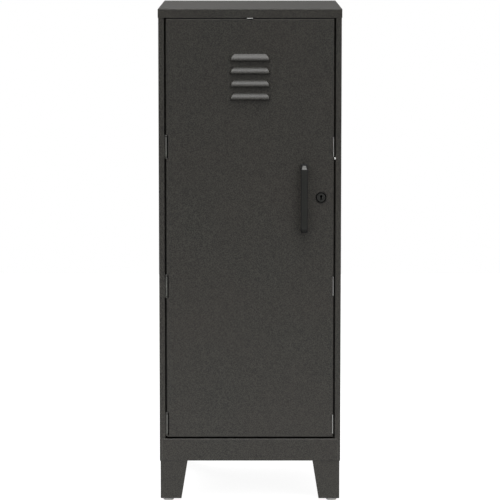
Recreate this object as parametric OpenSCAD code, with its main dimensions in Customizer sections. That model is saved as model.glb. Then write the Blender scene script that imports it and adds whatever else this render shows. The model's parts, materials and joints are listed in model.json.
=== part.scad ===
// Single-door locker cabinet of folded sheet steel on four tapered legs.
// +Z is up, the door faces -Y and its hinges are on the -X side.
// The origin is on the floor, below the middle of the box that holds the whole object.

/* [Body] */
// Width over the top cap
width = 381; // [340:1:460]
// Depth over the top cap
depth = 457; // [320:1:560]
// Thickness of the folded sheet
sheet = 0.9; // [0.7:0.1:1.1]
// Inside radius of every fold in the sheet
bend_r = 0.6; // [0.4:0.1:0.9]
// Height of the cap's turned-down edges
cap_h = 19; // [16:1:30]
// Width of the body's front faces beside the door
front_face_w = 11.9; // [10:0.1:20]
// Width of the strips that the door closes against
stop_w = 12; // [8:1:16]

/* [Door] */
// Height of the door
door_h = 876; // [820:1:1000]
// Depth of the door from its face to its back
door_t = 20; // [18:1:24]
// Width of the door's turned-in back edges
door_lip = 10; // [8:1:14]
// Gap at each side of the door
side_gap = 3.6; // [3.4:0.1:4.5]
// Gap above the door
top_gap = 2; // [1.8:0.1:4]
// Gap below the door
bottom_gap = 4; // [2:0.5:6]

/* [Base] */
// Height of the rail below the door
apron_h = 47; // [40:1:60]
// Height of a leg below the body
leg_h = 80.5; // [60:0.5:120]
// Width of a leg where it meets the body
leg_top_w = 57; // [54:1:70]
// Width of a leg at its foot
leg_foot_w = 44; // [38:1:50]
// Thickness of the leg's sheet
leg_sheet = 1.5; // [1.2:0.1:2]
// Height of the glide below the leg
glide_h = 6; // [5:0.5:12]
// Radius of the glide's pad
glide_r = 11; // [9:0.5:13]

/* [Shelves] */
// Depth of a shelf's turned-down edges
shelf_lip = 15; // [12:1:24]
// Distance from the body's front to the shelves
shelf_setback = 26; // [26:1:80]

/* [Hinges] */
// Height of a hinge barrel
barrel_h = 40; // [30:1:60]
// Radius of a hinge barrel
barrel_r = 2.1; // [2:0.05:2.3]
// Radius of a hinge pin
pin_r = 1.2; // [1:0.05:1.3]
// Height of the lowest barrel's middle above the floor pan
hinge_lift = 31; // [28:1:60]
// Distance from one hinge to the next
hinge_pitch = 292; // [240:1:300]

/* [Louvres] */
// Number of louvres
louvre_count = 4; // [1:1:6]
// Distance from one louvre to the next
louvre_pitch = 26.8; // [24:0.1:36]
// Distance from the door's top edge to the first louvre
louvre_drop = 72.5; // [50:0.5:120]
// Height of a louvre
louvre_h = 12.8; // [10:0.1:20]
// Width of a louvre at its top
louvre_top_w = 66; // [50:1:100]
// Width of a louvre at its mouth
louvre_mouth_w = 80.4; // [60:0.1:120]
// Distance that the hood stands out of the door
louvre_reach = 7.5; // [4:0.5:9]

/* [Handle and lock] */
// Distance of the handle from the middle of the door
handle_x = 112.4; // [80:0.1:120]
// Height of the handle's middle above the door's bottom edge
handle_lift = 504.5; // [300:0.5:700]
// Distance between the handle's two screws
handle_centres = 128; // [96:32:192]
// Width of the handle
handle_w = 14.3; // [12:0.1:18]
// Distance that the handle stands out of the door
handle_reach = 28; // [22:1:40]
// Distance of the lock from the middle of the door
lock_x = 147.8; // [140:0.1:149]
// Height of the lock's middle above the door's bottom edge
lock_lift = 505.5; // [300:0.5:700]
// Radius of the lock's rim
lock_rim_r = 11.25; // [10:0.25:12]
// Length of the cam from the lock's axis to its tip
cam_reach = 26; // [24:0.5:28]

/* [Hidden] */

round_fn = 48;
cut = 1;
half_t = sheet / 2;
fold_r = bend_r + half_t;
edge_r = bend_r + sheet;

// Heights, from the floor up
body_z = glide_h + leg_h;
floor_z = body_z + apron_h;
door_z = floor_z + bottom_gap;
door_top_z = door_z + door_h;
opening_top_z = door_top_z + top_gap;
top_z = opening_top_z + cap_h;
under_cap_z = top_z - sheet;
wall_top_z = under_cap_z - bend_r;

// Plan sizes: the body is one sheet thickness inside the cap all round
body_x = width / 2 - sheet;
opening_x = body_x - front_face_w;
door_x = opening_x - side_gap;
body_d = depth - 2 * sheet;
front_y = (handle_reach - body_d - sheet) / 2;
back_y = front_y + body_d;
inner_x = body_x - sheet;

// Door stops
stop_gap = 1;
stop_y = front_y + door_t + stop_gap;
stop_x = opening_x - stop_w;
stop_back_y = stop_y + sheet;
stop_play = 0.2;

// Back panel
rear_flange_w = 18;
back_inset = 4.5;
rivet_rows = 5;
rivet_r = 1.6;
rivet_head_r = 3.2;
rivet_head_h = 1;
rivet_margin = 40;
rivet_x = body_x - rear_flange_w / 2;
rivet_z0 = floor_z + rivet_margin;
rivet_step = (opening_top_z - rivet_margin - rivet_z0) / (rivet_rows - 1);
anchor_spacing = 200;
anchor_drop = 45;
anchor_r = 3.5;

// Apron and floor
apron_x = body_x - 5.6;
apron_return = 14;
floor_lip = 12;
floor_play = 0.3;

// Legs
leg_inset = 1.4;
leg_back_inset = 2.3;
leg_fold_r = 2.5;
leg_plate_top_z = floor_z - sheet;
bolt_r = 3;
bolt_head_r = 6;
bolt_head_h = 3.3;
bolt_below = 5.5;
nut_af = 10;
nut_h = 4.5;
bolt_y_in = 40;
bolt_x_in = [15, 43];
leg_front_y = front_y + leg_inset;
leg_rear_y = back_y - leg_back_inset;

// Glides
stud_r = 4;
stud_top_z = 30;
stud_low_z = 2.5;
glide_in = 16.5;
weld_nut_af = 13;
weld_nut_h = 6.5;
run_fit = 0.05;
glide_x = leg_inset - body_x + glide_in;
glide_y = leg_front_y + glide_in;

// Shelves
shelf_count = 2;
clear_h = (opening_top_z - floor_z) / (shelf_count + 1);
shelf_x = inner_x - 1.5;
shelf_front_y = front_y + shelf_setback;
shelf_back_y = back_y - 6;
shelf_hem = 9;
clip_t = 1.2;
clip_len = 22;
clip_up = 10;
clip_tab = 12;
clip_in = 55;

// Hinges
axis_x = -door_x;
axis_y = front_y + barrel_r;
ear_h = 3;
ear_gap = 0.3;
leaf_t = 1;
leaf_end_y = front_y + 16;
notch_w = 4.5;
notch_d = 6.5;
notch_h = barrel_h + 2 * (ear_h + 1.2);
spare_r = 1.05;
spare_notch_w = 2.6;
spare_notch_h = barrel_h + 1;
pin_head_h = 0.8;
hinge_z = [for (i = [0:2]) floor_z + hinge_lift + i * hinge_pitch];

// Bumpers
bumper_w = 12;
bumper_d = 7;
bumper_play = 0.3;
side_bumper_h = 6;
side_bumper_t = 2.7;

// Door stiffener: half width, depth, width of its feet, and its lower and upper ends
stiffener_w = 30;
stiffener_t = 12;
stiffener_foot = 14;
stiffener_z = [door_z + 40, door_top_z - louvre_drop - louvre_count * louvre_pitch - 20];

// Handle and lock
handle_z = door_z + handle_lift;
handle_half = handle_centres / 2 + 7.5;
handle_foot = 14;
handle_bar_t = 8;
handle_slope = 15;
handle_hole_r = 2;
handle_hole_d = 9;
lock_z = door_z + lock_lift;
rim_t = 2.5;
barrel_lock_r = 8.9;
lock_hole_r = 9.2;
plug_r = 6;
lock_len = 21;
lock_nut_af = 24;
lock_nut_h = 4;
keyway_w = 3;
keyway_h = 10;
keyway_d = 7;
cam_y = front_y + 23;
cam_t = 2;
cam_r = 8;
cam_square = 7;

paint = [0.25, 0.25, 0.235];
zinc = [0.62, 0.63, 0.64];
white = [0.93, 0.93, 0.92];
black = [0.16, 0.16, 0.16];

// ---------- shapes that are used again ----------

function unit(v) = v / norm(v);
function left_of(v) = [-v[1], v[0]];
function turn_of(u, w) = atan2(u[0] * w[1] - u[1] * w[0], u[0] * w[0] + u[1] * w[1]);
function turned(v, a) = [v[0] * cos(a) - v[1] * sin(a), v[0] * sin(a) + v[1] * cos(a)];
function reversed(p) = [for (i = [len(p) - 1:-1:0]) p[i]];
function arc(c, r, a0, a1, n = 4) =
    [for (i = [0:n]) c + r * [cos(a0 + (a1 - a0) * i / n), sin(a0 + (a1 - a0) * i / n)]];

// One bend of a folded sheet at p, on the side that lies off to the left of the path
function bend_points(p, u, w, off, r, n) =
    let (
        turn = turn_of(u, w),
        s = sign(turn),
        centre = p - u * r * tan(abs(turn) / 2) + s * r * left_of(u)
    )
    [for (k = [0:n]) centre - (s * r - off) * left_of(turned(u, turn * k / n))];

// One side of a folded sheet whose middle follows the path
function sheet_side(path, off, r, n) = [
    for (i = [0:len(path) - 1])
        let (
            u = unit(i > 0 ? path[i] - path[i - 1] : path[1] - path[0]),
            w = unit(i < len(path) - 1 ? path[i + 1] - path[i] : u)
        )
        each i == 0 || i == len(path) - 1
            ? [path[i] + off * left_of(u)]
            : bend_points(path[i], u, w, off, r, n)
];

// Outline of a folded sheet of thickness t
function folded(path, t = sheet, r = fold_r, n = 4) =
    concat(sheet_side(path, t / 2, r, n), reversed(sheet_side(path, -t / 2, r, n)));

// Rectangle whose two upper corners are round
function crowned(a0, a1, b0, b1, r) = concat(
    [[a0, b0], [a1, b0]],
    arc([a1 - r, b1 - r], r, 0, 90),
    arc([a0 + r, b1 - r], r, 90, 180)
);

// Rectangle with four round corners
function rounded(a0, a1, b0, b1, r) = concat(
    arc([a0 + r, b0 + r], r, 180, 270),
    arc([a1 - r, b0 + r], r, 270, 360),
    arc([a1 - r, b1 - r], r, 0, 90),
    arc([a0 + r, b1 - r], r, 90, 180)
);

module block(lo, hi) translate(lo) cube(hi - lo);

// Outline in Y and Z, drawn out from x0 to x1
module along_x(points, x0, x1)
    translate([x0, 0, 0])
        rotate([90, 0, 90])
            linear_extrude(x1 - x0) polygon(points);

// Outline in X and Z, drawn out from y0 to y1
module along_y(points, y0, y1)
    translate([0, y1, 0])
        rotate([90, 0, 0])
            linear_extrude(y1 - y0) polygon(points);

// Outline in X and Y, drawn out from z0 to z1
module along_z(points, z0, z1)
    translate([0, 0, z0])
        linear_extrude(z1 - z0) polygon(points);

module rod_y(x, z, y0, y1, r)
    translate([x, y1, z]) rotate([90, 0, 0]) cylinder(h = y1 - y0, r = r, $fn = round_fn);

module rod_z(x, y, z0, z1, r)
    translate([x, y, z0]) cylinder(h = z1 - z0, r = r, $fn = round_fn);

module hex_z(x, y, z0, z1, flats)
    translate([x, y, z0]) rotate([0, 0, 30]) cylinder(h = z1 - z0, r = flats / sqrt(3), $fn = 6);

module both_sides() {
    children();
    mirror([1, 0, 0]) children();
}

// Solid with round edges all round its top
module crowned_block(lo, hi, r)
    intersection() {
        along_x(crowned(lo[1], hi[1], lo[2], hi[2], r), lo[0], hi[0]);
        along_y(crowned(lo[0], hi[0], lo[2], hi[2], r), lo[1], hi[1]);
    }

// Folded tray, open below
module tray(lo, hi, t = sheet, r = edge_r)
    difference() {
        crowned_block(lo, hi, r);
        crowned_block([lo[0] + t, lo[1] + t, lo[2] - cut], [hi[0] - t, hi[1] - t, hi[2] - t], r - t);
    }

// ---------- body ----------

module top_cap()
    color(paint)
        tray([-width / 2, front_y - sheet, opening_top_z], [width / 2, back_y + sheet, top_z]);

// Rail above the door, with the strip that the door's top closes against
module header_rail()
    color(paint)
        difference() {
            along_x(folded([
                [front_y + half_t, wall_top_z],
                [front_y + half_t, opening_top_z + half_t],
                [stop_y + half_t, opening_top_z + half_t],
                [stop_y + half_t, opening_top_z - stop_w + side_gap],
            ]), -opening_x, opening_x);
            both_sides()
                block([stop_x - stop_play, stop_y - cut, opening_top_z - stop_w],
                      [opening_x + cut, stop_back_y + cut, opening_top_z + 2 * sheet]);
            bumper_stem(0.1);
        }

// Wall with its rear flange, front face, return and door stop, in plan
function side_outline() = folded([
    [rear_flange_w - body_x, back_y - half_t],
    [half_t - body_x, back_y - half_t],
    [half_t - body_x, front_y + half_t],
    [-opening_x - half_t, front_y + half_t],
    [-opening_x - half_t, stop_y + half_t],
    [-stop_x, stop_y + half_t],
]);

module side_panel()
    difference() {
        along_z(side_outline(), body_z, wall_top_z);
        // the apron takes the place of the front face below the door
        block([-apron_x, front_y - cut, body_z - cut], [-stop_x + cut, stop_back_y + cut, floor_z]);
        left_rivet_holes();
    }

module side_panel_left()
    color(paint) side_panel();

module side_panel_right()
    color(paint) mirror([1, 0, 0]) side_panel();

module left_rivet_holes()
    for (i = [0:rivet_rows - 1])
        rod_y(-rivet_x, rivet_z0 + i * rivet_step, back_y - 4 * sheet, back_y + cut, rivet_r + run_fit);

module back_panel()
    color(paint)
        difference() {
            block([back_inset - body_x, back_y - 2 * sheet, body_z],
                  [body_x - back_inset, back_y - sheet, under_cap_z]);
            both_sides() left_rivet_holes();
            for (side = [-1, 1])
                rod_y(side * anchor_spacing / 2, opening_top_z - anchor_drop,
                      back_y - 4 * sheet, back_y + cut, anchor_r);
        }

module back_rivets()
    color(zinc)
        both_sides()
            for (i = [0:rivet_rows - 1]) {
                z = rivet_z0 + i * rivet_step;
                rod_y(-rivet_x, z, back_y - 2 * sheet - rivet_head_h, back_y + rivet_head_h / 2, rivet_r);
                rod_y(-rivet_x, z, back_y, back_y + rivet_head_h - 0.15, rivet_head_r);
                rod_y(-rivet_x, z, back_y - 2 * sheet - rivet_head_h, back_y - 2 * sheet, rivet_r + 0.8);
            }

// Rail below the door: face, top return, door stop and bottom return
module front_apron()
    color(paint)
        difference() {
            along_x(folded([
                [front_y + apron_return, body_z + half_t],
                [front_y + half_t, body_z + half_t],
                [front_y + half_t, floor_z - half_t],
                [stop_y + half_t, floor_z - half_t],
                [stop_y + half_t, floor_z + bottom_gap + door_lip - 1],
            ]), -apron_x, apron_x);
            both_sides() {
                block([stop_x - stop_play, front_y + sheet + 3, floor_z],
                      [body_x, stop_back_y + cut, floor_z + 30]);
                // room for the front legs
                block([body_x - leg_inset - leg_top_w - 4, front_y + sheet, body_z - cut],
                      [body_x, front_y + apron_return + cut, body_z + 5]);
            }
        }

module floor_pan()
    color(paint)
        difference() {
            along_y(folded([
                [half_t + floor_play - inner_x, floor_z - half_t + floor_lip],
                [half_t + floor_play - inner_x, floor_z - half_t],
                [inner_x - half_t - floor_play, floor_z - half_t],
                [inner_x - half_t - floor_play, floor_z - half_t + floor_lip],
            ]), stop_back_y + floor_play, back_y - 2 * sheet - floor_play);
            for_each_bolt() rod_z(0, 0, floor_z - 4, floor_z + 4, bolt_r + 0.3);
        }

// ---------- shelves ----------

module shelf(z)
    color(paint) {
        tray([-shelf_x, shelf_front_y, z - shelf_lip], [shelf_x, shelf_back_y, z]);
        // hem under the front and back edges
        for (y = [shelf_front_y + sheet, shelf_back_y - sheet - shelf_hem])
            block([-shelf_x + sheet, y, z - shelf_lip],
                  [shelf_x - sheet, y + shelf_hem, z - shelf_lip + sheet]);
    }

module shelf_lower() shelf(floor_z + clear_h);
module shelf_upper() shelf(floor_z + shelf_count * clear_h);

module shelf_clips()
    color(zinc)
        for (n = [1:shelf_count], y = [shelf_front_y + clip_in, shelf_back_y - clip_in - clip_len])
            both_sides() {
                z = floor_z + n * clear_h - shelf_lip;
                block([inner_x - clip_t, y, z - clip_t], [inner_x, y + clip_len, z + clip_up]);
                block([inner_x - clip_tab, y, z - clip_t], [inner_x, y + clip_len, z]);
            }

// ---------- legs and glides ----------

// The side of a leg: straight outside, tapered inside below the body
function leg_side(outer, inward) = [
    [outer, glide_h],
    [outer, leg_plate_top_z],
    [outer + inward * leg_top_w, leg_plate_top_z],
    [outer + inward * leg_top_w, body_z],
    [outer + inward * leg_foot_w, glide_h],
];

// Leg at the -X side whose outer face in Y is at y and which reaches to +Y
module leg_left(y) {
    x = leg_inset - body_x;
    mid = leg_sheet / 2;
    r = leg_fold_r;
    foot_z = glide_h + leg_sheet;
    difference() {
        union() {
            intersection() {
                along_z(folded([
                    [x + leg_top_w, y + mid], [x + mid, y + mid], [x + mid, y + leg_top_w],
                ], leg_sheet, r), glide_h, leg_plate_top_z);
                along_y(leg_side(x, 1), y - cut, y + leg_top_w + cut);
                along_x(leg_side(y, 1), x - cut, x + leg_top_w + cut);
            }
            // foot plate and top plate, from the middle of the sheet inwards
            for (level = [
                [leg_foot_w - leg_sheet, glide_h],
                [leg_top_w - leg_sheet, leg_plate_top_z - leg_sheet],
            ])
                along_z(concat(
                    arc([x + mid + r, y + mid + r], r, 180, 270),
                    [[x + level[0], y + mid], [x + level[0], y + level[0]], [x + mid, y + level[0]]]
                ), level[1], level[1] + leg_sheet);
        }
        rod_z(x + glide_in, y + glide_in, glide_h - cut, foot_z + cut, stud_r + 0.4);
        for (dx = bolt_x_in)
            rod_z(x + dx, y + bolt_y_in, leg_plate_top_z - leg_sheet - cut, leg_plate_top_z + cut,
                  bolt_r + 0.3);
    }
}

// Places its children, drawn for the front left corner, at a corner: -1 or 1 in X and in Y
module at_corner(side_x, side_y)
    mirror([side_x > 0 ? 1 : 0, 0, 0])
        translate([0, side_y > 0 ? leg_rear_y + leg_front_y : 0, 0])
            mirror([0, side_y > 0 ? 1 : 0, 0])
                children();

module at_all_corners()
    for (side_x = [-1, 1], side_y = [-1, 1])
        at_corner(side_x, side_y) children();

module leg(side_x, side_y)
    color(paint) at_corner(side_x, side_y) leg_left(leg_front_y);

module leg_front_left() leg(-1, -1);
module leg_front_right() leg(1, -1);
module leg_rear_left() leg(-1, 1);
module leg_rear_right() leg(1, 1);

module for_each_bolt()
    at_all_corners()
        for (dx = bolt_x_in)
            translate([leg_inset - body_x + dx, leg_front_y + bolt_y_in, 0]) children();

module leg_bolts()
    color(zinc)
        for_each_bolt() {
            rod_z(0, 0, leg_plate_top_z - leg_sheet - bolt_below, floor_z + 1, bolt_r);
            translate([0, 0, floor_z])
                cylinder(h = bolt_head_h, r1 = bolt_head_r, r2 = bolt_head_r - 2.5, $fn = round_fn);
        }

module leg_nuts()
    color(zinc)
        for_each_bolt()
            difference() {
                hex_z(0, 0, leg_plate_top_z - leg_sheet - nut_h, leg_plate_top_z - leg_sheet, nut_af);
                rod_z(0, 0, 0, floor_z, bolt_r + run_fit);
            }

module glide_nuts()
    color(zinc)
        at_all_corners()
            difference() {
                hex_z(glide_x, glide_y, glide_h + leg_sheet, glide_h + leg_sheet + weld_nut_h, weld_nut_af);
                rod_z(glide_x, glide_y, 0, floor_z, stud_r + run_fit);
            }

module glide_stud(side_x, side_y)
    color(zinc) at_corner(side_x, side_y) rod_z(glide_x, glide_y, stud_low_z, stud_top_z, stud_r);

// Turned pad with a round lower edge and a blind hole for the stud
module glide_pad(side_x, side_y)
    color(white)
        at_corner(side_x, side_y)
            translate([glide_x, glide_y, 0])
                rotate_extrude($fn = round_fn)
                    polygon(concat(
                        [[0, 0]],
                        arc([glide_r - 2, 2], 2, -90, 0),
                        [
                            [glide_r, glide_h - 1.3], [glide_r - 1, glide_h - 0.3],
                            [stud_r + 0.02, glide_h - 0.3], [stud_r + 0.02, stud_low_z - 0.02],
                            [0, stud_low_z - 0.02],
                        ]
                    ));

module glide_stud_front_left() glide_stud(-1, -1);
module glide_stud_front_right() glide_stud(1, -1);
module glide_stud_rear_left() glide_stud(-1, 1);
module glide_stud_rear_right() glide_stud(1, 1);
module glide_pad_front_left() glide_pad(-1, -1);
module glide_pad_front_right() glide_pad(1, -1);
module glide_pad_rear_left() glide_pad(-1, 1);
module glide_pad_rear_right() glide_pad(1, 1);

// ---------- hinges ----------

// Bracket on the left return, with an ear above and an ear below the barrel
module frame_hinge(z)
    color(paint)
        difference() {
            union() {
                block([-opening_x, axis_y, z - barrel_h / 2 - ear_gap - ear_h],
                      [-opening_x + leaf_t, leaf_end_y, z + barrel_h / 2 + ear_gap + ear_h]);
                for (low = [z - barrel_h / 2 - ear_gap - ear_h, z + barrel_h / 2 + ear_gap]) {
                    rod_z(axis_x, axis_y, low, low + ear_h, barrel_r);
                    block([-opening_x, axis_y, low], [axis_x, axis_y + barrel_r, low + ear_h]);
                }
            }
            rod_z(axis_x, axis_y, 0, top_z, pin_r + run_fit / 2);
        }

module hinge_pin(z)
    color(zinc) {
        end = barrel_h / 2 + ear_gap + ear_h;
        rod_z(axis_x, axis_y, z - end - pin_head_h, z + end + pin_head_h, pin_r);
        for (low = [z - end - pin_head_h, z + end])
            rod_z(axis_x, axis_y, low, low + pin_head_h, pin_r + 0.6);
    }

// Barrel with its leaf inside the door's edge
module hinge_leaf(z)
    difference() {
        union() {
            rod_z(axis_x, axis_y, z - barrel_h / 2, z + barrel_h / 2, barrel_r);
            block([axis_x + sheet, axis_y, z - barrel_h / 2],
                  [axis_x + sheet + leaf_t, leaf_end_y, z + barrel_h / 2]);
        }
        rod_z(axis_x, axis_y, 0, top_z, pin_r + run_fit);
    }

module frame_hinge_lower() frame_hinge(hinge_z[0]);
module frame_hinge_middle() frame_hinge(hinge_z[1]);
module frame_hinge_upper() frame_hinge(hinge_z[2]);
module hinge_pin_lower() hinge_pin(hinge_z[0]);
module hinge_pin_middle() hinge_pin(hinge_z[1]);
module hinge_pin_upper() hinge_pin(hinge_z[2]);
module door_hinge_lower() color(zinc) hinge_leaf(hinge_z[0]);
module door_hinge_middle() color(zinc) hinge_leaf(hinge_z[1]);
module door_hinge_upper() color(zinc) hinge_leaf(hinge_z[2]);

// Leaves with a rolled front edge that fill the notches in the door's other edge
module spare_hinge_leaves()
    color(zinc) {
        leaf_x = door_x - sheet - leaf_t;
        for (z = hinge_z) {
            rod_z(leaf_x + spare_r, axis_y, z - barrel_h / 2, z + barrel_h / 2, spare_r);
            block([leaf_x, axis_y, z - barrel_h / 2], [leaf_x + leaf_t, leaf_end_y, z + barrel_h / 2]);
        }
    }

// ---------- bumpers ----------

module bumper_stem(grow)
    block([-2.5 - grow, front_y + 2.5 - grow, opening_top_z - grow],
          [2.5 + grow, front_y + 6 + grow, opening_top_z + 4 + grow]);

module top_bumper()
    color(white) {
        block([-bumper_w / 2, front_y + 0.6, door_top_z + bumper_play],
              [bumper_w / 2, front_y + 0.6 + bumper_d, opening_top_z]);
        bumper_stem(0);
    }

module side_bumper()
    color(white)
        block([opening_x - side_bumper_t, front_y + 1.5, hinge_z[2] - barrel_h / 2 - 1 - side_bumper_h],
              [opening_x, front_y + 1.5 + bumper_d, hinge_z[2] - barrel_h / 2 - 1]);

// ---------- door ----------

// Wedge of one louvre: flat at its top and standing out at its mouth
module louvre_wedge(top, reach, inset, below)
    intersection() {
        along_x([
            [front_y + sheet * 2, top - inset], [front_y, top - inset],
            [front_y - reach, top - louvre_h - below], [front_y + sheet * 2, top - louvre_h - below],
        ], -louvre_mouth_w, louvre_mouth_w);
        along_y([
            [inset - louvre_top_w / 2, top], [louvre_top_w / 2 - inset, top],
            [louvre_mouth_w / 2 - inset, top - louvre_h - below],
            [inset - louvre_mouth_w / 2, top - louvre_h - below],
        ], front_y - reach - cut, front_y + sheet + cut);
    }

module door_panel()
    color(paint)
        difference() {
            union() {
                intersection() {
                    rotate([90, 0, 0])
                        tray([-door_x, door_z, -front_y - door_t], [door_x, door_top_z, -front_y]);
                    along_y(rounded(-door_x, door_x, door_z, door_top_z, 1.5), front_y - cut, back_y);
                }
                // turned-in back edges
                difference() {
                    block([sheet - door_x, front_y + door_t - sheet, door_z + sheet],
                          [door_x - sheet, front_y + door_t, door_top_z - sheet]);
                    block([door_lip - door_x, front_y, door_z + door_lip],
                          [door_x - door_lip, back_y, door_top_z - door_lip]);
                }
                for (i = [0:louvre_count - 1])
                    intersection() {
                        louvre_wedge(door_top_z - louvre_drop - i * louvre_pitch, louvre_reach, 0, 0);
                        block([-door_x, front_y - 20, door_z], [door_x, front_y + sheet, door_top_z]);
                    }
            }
            for (i = [0:louvre_count - 1])
                louvre_wedge(door_top_z - louvre_drop - i * louvre_pitch, louvre_reach - sheet, sheet, 0.01);
            for (z = hinge_z) {
                block([-door_x - cut, front_y - cut, z - notch_h / 2],
                      [notch_w - door_x, front_y + notch_d, z + notch_h / 2]);
                block([door_x - spare_notch_w, front_y - cut, z - spare_notch_h / 2],
                      [door_x + cut, front_y + notch_d, z + spare_notch_h / 2]);
            }
            // notch below the top bumper
            block([-bumper_w / 2, front_y - cut, door_top_z - 2.5],
                  [bumper_w / 2, front_y + 4, door_top_z + cut]);
            rod_y(lock_x, lock_z, front_y - cut, front_y + 5, lock_hole_r);
            for (side = [-1, 1])
                rod_y(handle_x, handle_z + side * handle_centres / 2, front_y - cut, front_y + 5,
                      handle_hole_r + 0.4);
        }

// Hat channel behind the door's face
module door_stiffener()
    color(paint) {
        face = front_y + sheet;
        along_z(folded([
            [-stiffener_w - stiffener_foot, face + half_t], [-stiffener_w, face + half_t],
            [-stiffener_w, face + stiffener_t - half_t], [stiffener_w, face + stiffener_t - half_t],
            [stiffener_w, face + half_t], [stiffener_w + stiffener_foot, face + half_t],
        ]), stiffener_z[0], stiffener_z[1]);
    }

// Bow pull, seen from the side
function handle_outline() =
    let (half = [
        [front_y, handle_half], [front_y - handle_reach + handle_slope, handle_half],
        [front_y - handle_reach, handle_half - handle_slope],
    ],
    inside = [
        [front_y - handle_reach + handle_bar_t, handle_half - handle_foot - handle_slope / 2],
        [front_y - handle_bar_t, handle_half - handle_foot], [front_y, handle_half - handle_foot],
    ])
    [for (p = concat(half, [for (q = reversed(half)) [q[0], -q[1]]],
                     [for (q = reversed(inside)) [q[0], -q[1]]], inside)) p + [0, handle_z]];

module door_handle()
    color(black)
        difference() {
            along_x(handle_outline(), handle_x - handle_w / 2, handle_x + handle_w / 2);
            for (side = [-1, 1])
                rod_y(handle_x, handle_z + side * handle_centres / 2, front_y - handle_hole_d, front_y + cut,
                      handle_hole_r);
        }

module handle_screws()
    color(zinc)
        for (side = [-1, 1]) {
            z = handle_z + side * handle_centres / 2;
            rod_y(handle_x, z, front_y - handle_hole_d + 1, front_y + sheet + 1, handle_hole_r - run_fit);
            rod_y(handle_x, z, front_y + sheet, front_y + sheet + 2.6, handle_hole_r * 2);
        }

module lock_housing()
    color(black)
        difference() {
            union() {
                rod_y(lock_x, lock_z, front_y - rim_t, front_y, lock_rim_r);
                rod_y(lock_x, lock_z, front_y - 0.5, front_y + lock_len, barrel_lock_r);
            }
            rod_y(lock_x, lock_z, front_y - rim_t - cut, front_y + lock_len + cut, plug_r + run_fit);
        }

module lock_nut()
    color(zinc)
        difference() {
            translate([lock_x, front_y + sheet + lock_nut_h, lock_z])
                rotate([90, 0, 0]) cylinder(h = lock_nut_h, r = lock_nut_af / sqrt(3), $fn = 6);
            rod_y(lock_x, lock_z, front_y, front_y + 20, barrel_lock_r + run_fit);
        }

// Turning core with its keyway, and the square that drives the cam
module lock_plug()
    color(zinc)
        difference() {
            union() {
                rod_y(lock_x, lock_z, front_y - rim_t + 0.4, front_y + lock_len + 0.4, plug_r);
                block([lock_x - cam_square / 2, front_y + lock_len, lock_z - cam_square / 2],
                      [lock_x + cam_square / 2, cam_y + cam_t, lock_z + cam_square / 2]);
            }
            block([lock_x - keyway_w / 2, front_y - rim_t - cut, lock_z - keyway_h / 2],
                  [lock_x + keyway_w / 2, front_y - rim_t + keyway_d, lock_z + keyway_h / 2]);
            rod_y(lock_x, lock_z, front_y + 12, back_y, 2);
        }

// Flat cam with a round end, pointing down while the lock is open
module lock_cam()
    color(zinc)
        difference() {
            union() {
                rod_y(lock_x, lock_z, cam_y, cam_y + cam_t, cam_r);
                rod_y(lock_x, lock_z - cam_reach + cam_r, cam_y, cam_y + cam_t, cam_r);
                block([lock_x - cam_r, cam_y, lock_z - cam_reach + cam_r],
                      [lock_x + cam_r, cam_y + cam_t, lock_z]);
            }
            block([lock_x - cam_square / 2 - run_fit, cam_y - cut, lock_z - cam_square / 2 - run_fit],
                  [lock_x + cam_square / 2 + run_fit, cam_y + cam_t + cut, lock_z + cam_square / 2 + run_fit]);
        }

module cam_screw()
    color(zinc) {
        rod_y(lock_x, lock_z, front_y + 13, cam_y + cam_t + 1, 2 - run_fit);
        rod_y(lock_x, lock_z, cam_y + cam_t, cam_y + cam_t + 2.4, 5.5);
    }

top_cap();
header_rail();
side_panel_left();
side_panel_right();
back_panel();
back_rivets();
floor_pan();
front_apron();
shelf_lower();
shelf_upper();
shelf_clips();
leg_front_left();
leg_front_right();
leg_rear_left();
leg_rear_right();
leg_bolts();
leg_nuts();
glide_nuts();
frame_hinge_lower();
frame_hinge_middle();
frame_hinge_upper();
hinge_pin_lower();
hinge_pin_middle();
hinge_pin_upper();
top_bumper();
side_bumper();
door_panel();
door_stiffener();
door_hinge_lower();
door_hinge_middle();
door_hinge_upper();
spare_hinge_leaves();
door_handle();
handle_screws();
lock_housing();
lock_nut();
lock_plug();
lock_cam();
cam_screw();
glide_stud_front_left();
glide_stud_front_right();
glide_stud_rear_left();
glide_stud_rear_right();
glide_pad_front_left();
glide_pad_front_right();
glide_pad_rear_left();
glide_pad_rear_right();
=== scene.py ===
"""Looks of the locker cabinet: materials, formed sheet metal, hardware, light and camera."""
import json
import math

import bmesh
import bpy
from mathutils import Matrix, Vector


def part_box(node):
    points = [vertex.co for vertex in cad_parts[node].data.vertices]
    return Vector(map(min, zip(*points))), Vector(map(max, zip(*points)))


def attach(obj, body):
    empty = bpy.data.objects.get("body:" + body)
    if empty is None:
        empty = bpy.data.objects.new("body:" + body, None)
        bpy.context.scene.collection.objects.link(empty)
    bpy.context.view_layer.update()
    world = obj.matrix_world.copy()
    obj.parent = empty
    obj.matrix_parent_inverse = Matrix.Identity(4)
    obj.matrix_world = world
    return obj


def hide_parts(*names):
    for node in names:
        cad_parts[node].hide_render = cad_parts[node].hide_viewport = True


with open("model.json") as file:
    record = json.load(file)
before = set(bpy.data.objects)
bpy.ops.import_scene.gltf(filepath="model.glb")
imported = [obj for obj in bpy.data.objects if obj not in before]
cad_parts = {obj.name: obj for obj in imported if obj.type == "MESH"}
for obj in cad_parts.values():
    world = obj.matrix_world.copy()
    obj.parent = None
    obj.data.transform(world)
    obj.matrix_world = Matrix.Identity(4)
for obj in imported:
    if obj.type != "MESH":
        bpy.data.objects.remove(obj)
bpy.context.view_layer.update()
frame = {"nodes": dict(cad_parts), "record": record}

MM = 0.001

# ---------- places read from the frame ----------

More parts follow.
